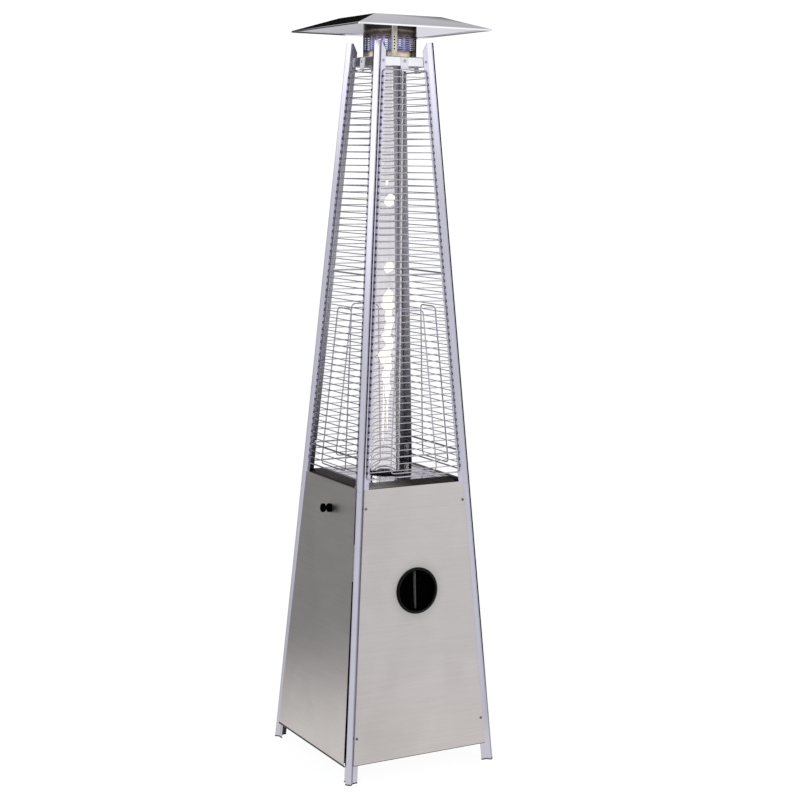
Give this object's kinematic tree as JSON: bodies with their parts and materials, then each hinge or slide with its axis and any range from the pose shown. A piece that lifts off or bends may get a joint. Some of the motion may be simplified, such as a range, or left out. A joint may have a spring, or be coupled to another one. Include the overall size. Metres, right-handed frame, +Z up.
{
  "type": "glass tube patio heater",
  "caption": "Tall gas patio heater with leaning corner posts, a glass flame tube behind wire guards, a square reflector and a cupboard base with a drop-down door",
  "frame": {"origin": "on the floor at the centre of the base", "axes": "+Z up; -Y is the front with the control, -X is the side with the door"},
  "size_m": [0.5214, 0.5214, 2.2687],
  "materials": {
    "post_steel": "satin folded stainless sheet",
    "brushed_steel": "brushed stainless sheet",
    "polished_steel": "mirror-polished stainless sheet",
    "chrome_wire": "bright welded wire",
    "heat_steel": "heat-tinted stainless sheet",
    "black_plastic": "black moulded plastic",
    "grip_plastic": "dark grey moulded plastic",
    "glass": "clear heat-resisting glass",
    "rubber": "matte black",
    "black_iron": "black heat-resisting paint",
    "zinc_steel": "zinc-plated steel",
    "brass": "plain brass",
    "ceramic": "white glazed ceramic"
  },
  "bodies": {
    "frame": {"base_tray": "zinc_steel", "burner_head": "black_iron", "burner_tray": "zinc_steel", "control_bezel": "black_plastic", "control_cup": "black_plastic", "door_header": "zinc_steel", "door_hinge_bracket_front": "zinc_steel", "door_hinge_bracket_rear": "zinc_steel", "electrode_ceramic": "ceramic", "flame_screen": "heat_steel", "foot_pad_front_left": "rubber", "foot_pad_front_right": "rubber", "foot_pad_rear_left": "rubber", "foot_pad_rear_right": "rubber", "front_panel": "brushed_steel", "gas_inlet": "brass", "gas_pipe": "brass", "gas_valve": "zinc_steel", "glass_tube": "glass", "guard_front": "chrome_wire", "guard_left": "chrome_wire", "guard_rear": "chrome_wire", "guard_right": "chrome_wire", "hearth_plate": "polished_steel", "igniter_electrode": "zinc_steel", "injector": "brass", "lower_post_front_left": "post_steel", "lower_post_front_right": "post_steel", "lower_post_rear_left": "post_steel", "lower_post_rear_right": "post_steel", "magnet_catch": "black_plastic", "pilot_tube": "brass", "rear_panel": "brushed_steel", "reflector": "polished_steel", "right_panel": "brushed_steel", "screen_cap_ring": "heat_steel", "thermocouple": "zinc_steel", "tilt_switch": "black_plastic", "top_plate": "post_steel", "tube_base_ring": "black_iron", "tube_gasket": "rubber", "tube_top_collar": "black_iron", "upper_post_front_left": "post_steel", "upper_post_front_right": "post_steel", "upper_post_rear_left": "post_steel", "upper_post_rear_right": "post_steel", "valve_bracket": "zinc_steel", "venturi_tube": "zinc_steel"},
    "door": {"door_hinge_clevis_front": "zinc_steel", "door_hinge_clevis_rear": "zinc_steel", "door_hinge_pin_front": "zinc_steel", "door_hinge_pin_rear": "zinc_steel", "door_knob": "black_plastic", "door_knob_screw": "zinc_steel", "door_panel": "brushed_steel", "door_strike": "zinc_steel"},
    "spindle": {"valve_spindle": "brass"},
    "knob": {"control_knob": "black_plastic", "knob_grip_bar": "grip_plastic"}
  },
  "joints": [
    {"name": "door_hinge", "type": "hinge", "parent": "frame", "child": "door", "pos_m": [-0.24937, 0, 0.05036], "axis": [0, -1, 0], "range_deg": [0, 75]},
    {"name": "knob_push", "type": "slide", "parent": "frame", "child": "spindle", "axis": [0, 0.9974, -0.0723], "range_m": [0, 0.004], "stiffness_N_per_m": 600, "springref_m": -0.002},
    {"name": "knob_turn", "type": "hinge", "parent": "spindle", "child": "knob", "pos_m": [0, -0.20765, 0.557], "axis": [0, -0.9974, 0.0723], "range_deg": [0, 180]}
  ]
}
